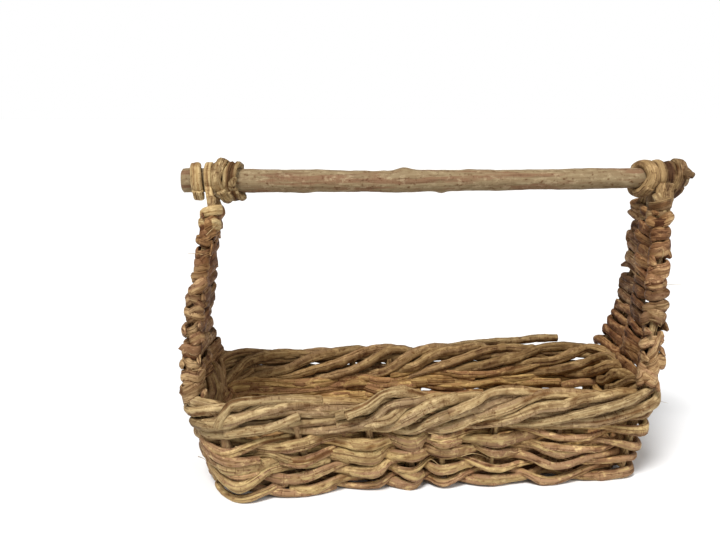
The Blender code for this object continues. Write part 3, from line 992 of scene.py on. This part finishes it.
def lash(materials):
    """The turns round the front upright below the pole, and the bands over the pole."""
    rng = np.random.default_rng(83)
    for end, (tones, z, wide) in TURNS.items():
        rods = []
        for i, tone in enumerate(tones):
            rows = []
            for angle in np.radians(np.linspace(150, 420, 12)):
                spot = upright_point(end, -1, z - TURN_PITCH * i)
                spot = spot + (0.0, 0.004, 0.0015 * math.sin(angle * 1.5))
                rise = 0.0018 * math.cos(angle) * (1 - 2 * i)
                spot += (wide * math.cos(angle), 0.0095 * math.sin(angle), rise)
                rows.append([*spot, 0.0034, 0.0062])
            rods.append(rod(rng, rows, rough=0.9, sides=18, square=0.8, tone=tone,
                            step=FINE_STEP))
        piece(f"{end}_lashing_knot", rods, materials[end])
    for end, bands in BANDS.items():
        for i, shape in enumerate(bands):
            rods = [band(rng, end, *shape)]
            if i == len(bands) - 1:
                rods.append(cut_end(rng, end))
            name, nodes = f"{end}_lashing_band_{i + 1}", [f"{end}_lashing_{i + 1}"]
            piece(name, rods, materials[end], nodes)


FIBRES = 46
FIBRE_RADIUS = 0.00035


def fibres(material):
    """Thin frayed fibres standing off the weave."""
    rng = np.random.default_rng(97)
    rods = []
    for _ in range(FIBRES):
        if rng.uniform() < 0.7:
            u = rng.uniform(-1, 8) if rng.uniform() < 0.7 else rng.uniform(8, 21)
            z = rng.uniform(0.02, 0.104)
            start = tub_point(u, z, 0.013)
            heading = tub_point(u + 0.3, z, 0.013) - start
            heading /= np.linalg.norm(heading)
        else:
            end = "left" if rng.uniform() < 0.4 else "right"
            start = upright_point(end, -1, rng.uniform(0.12, 0.28)) + (0, -0.011, 0)
            heading = np.array((rng.uniform(-1, 1), -0.3, 0.2))
        heading = heading * rng.choice((-1, 1)) + rng.normal(0, 0.25, 3)
        reach, curl = rng.uniform(0.008, 0.024), rng.normal(0, 0.003, 3)
        rows = []
        for t in (0.0, 0.35, 0.7, 1.0):
            radius = FIBRE_RADIUS * (1.2 - t)
            rows.append([*(start + heading * reach * t + curl * 4 * t * (1 - t)), radius, radius])
        tone = (rng.uniform(0.2, 1), 0.3)
        rods.append(rod(rng, rows, up=(0.3, 0.2, 1), rough=0.3, sides=5, tone=tone))
    piece("loose_fibres", rods, material)


# ---------------------------------------------------------------- camera, floor and light
FLOOR_HALF_WIDTH = 60
FLOOR_COLOUR = (0.86, 0.86, 0.86, 1)
WORLD_LIGHT, WORLD_SEEN = 0.36, 1.0
# Each lamp: name, the direction that it shines from, how wide it is in degrees, and strength
SUNS = (("key", (-0.6, -1.1, 2.0), 20, 3.5), ("fill", (1.6, -1.5, 1.0), 50, 0.9))
CAMERA_PLACE = (-0.1535, -0.8808, 0.3925)
CAMERA_DOWN, CAMERA_RIGHT = 10.89, 4.25  # degrees
LENS = 40.3
SENSOR = 36.0


def stage():
    """A plain pale floor, a white world that lights the object only softly, and two wide suns."""
    floor = bpy.data.meshes.new("floor")
    far = FLOOR_HALF_WIDTH
    floor.from_pydata([(-far, -far, 0), (far, -far, 0), (far, far, 0), (-far, far, 0)], [],
                      [(0, 1, 2, 3)])
    material = bpy.data.materials.new("pale_floor")
    material.use_nodes = True
    shader = material.node_tree.nodes["Principled BSDF"]
    shader.inputs["Base Color"].default_value = FLOOR_COLOUR
    shader.inputs["Roughness"].default_value = 0.9
    floor.materials.append(material)
    ground = bpy.data.objects.new("floor", floor)
    bpy.context.scene.collection.objects.link(ground)
    world = bpy.data.worlds.new("studio")
    world.use_nodes = True
    tree = world.node_tree
    background = tree.nodes["Background"]
    background.inputs["Color"].default_value = (1, 1, 1, 1)
    seen = node(tree, "ShaderNodeLightPath").outputs["Is Camera Ray"]
    strength = remap(tree, seen, 0.0, 1.0, WORLD_LIGHT, WORLD_SEEN)
    tree.links.new(strength, background.inputs["Strength"])
    bpy.context.scene.world = world
    for name, place, angle, energy in SUNS:
        light = bpy.data.lights.new(name, "SUN")
        light.angle = math.radians(angle)
        light.energy = energy
        lamp = bpy.data.objects.new(name, light)
        lamp.rotation_euler = (-Vector(place)).to_track_quat("-Z", "Y").to_euler()
        bpy.context.scene.collection.objects.link(lamp)


def camera():
    data = bpy.data.cameras.new("camera")
    data.lens = LENS
    data.sensor_width = SENSOR
    made = bpy.data.objects.new("camera", data)
    made.location = CAMERA_PLACE
    made.rotation_euler = (math.radians(90 - CAMERA_DOWN), 0.0, math.radians(-CAMERA_RIGHT))
    bpy.context.scene.collection.objects.link(made)
    bpy.context.scene.camera = made
    bpy.context.scene.view_settings.view_transform = "Standard"


camera()
stage()
# Each mix: pale wood, deep wood, bark, and the painted shade colour that the inside face is
# multiplied by
WALL = vine("weaver_vine", (0.48, 0.345, 0.150), (0.285, 0.172, 0.075), (0.28, 0.150, 0.085),
            (0.90, 0.80, 0.66))
BORDER = vine("border_vine", (0.46, 0.335, 0.165), (0.285, 0.185, 0.082), (0.29, 0.185, 0.10),
              (0.90, 0.80, 0.68))
STAKE = vine("stake_vine", (0.42, 0.30, 0.14), (0.22, 0.135, 0.06), (0.20, 0.115, 0.06),
             (0.88, 0.78, 0.66))
PANEL = vine("panel_vine", (0.44, 0.290, 0.140), (0.205, 0.114, 0.047), (0.22, 0.110, 0.056),
             (0.74, 0.62, 0.52))
BAND_LEFT = vine("pale_lashing_vine", (0.50, 0.370, 0.180), (0.29, 0.18, 0.072),
                 (0.20, 0.12, 0.055), (0.9, 0.8, 0.7), bark_share=0.4)
BAND_RIGHT = vine("brown_lashing_vine", (0.33, 0.215, 0.095), (0.17, 0.10, 0.042),
                  (0.15, 0.08, 0.04), (0.9, 0.8, 0.7), bark_share=0.6)
POLE = vine("pole_bark", (0.275, 0.205, 0.112), (0.225, 0.155, 0.082), (0.19, 0.088, 0.046),
            (1.0, 1.0, 1.0), bark_share=0.7, bump=0.4, short=2.0, lined=0.35, spotted=0.8)
weave_walls(WALL)
weave_border(BORDER)
rib_rods(STAKE)
short_stake_rods(STAKE)
upright_rods(STAKE)
weave_panels(PANEL)
floor_mat(WALL)
pole(POLE)
lash({"left": BAND_LEFT, "right": BAND_RIGHT})
fibres(BORDER)
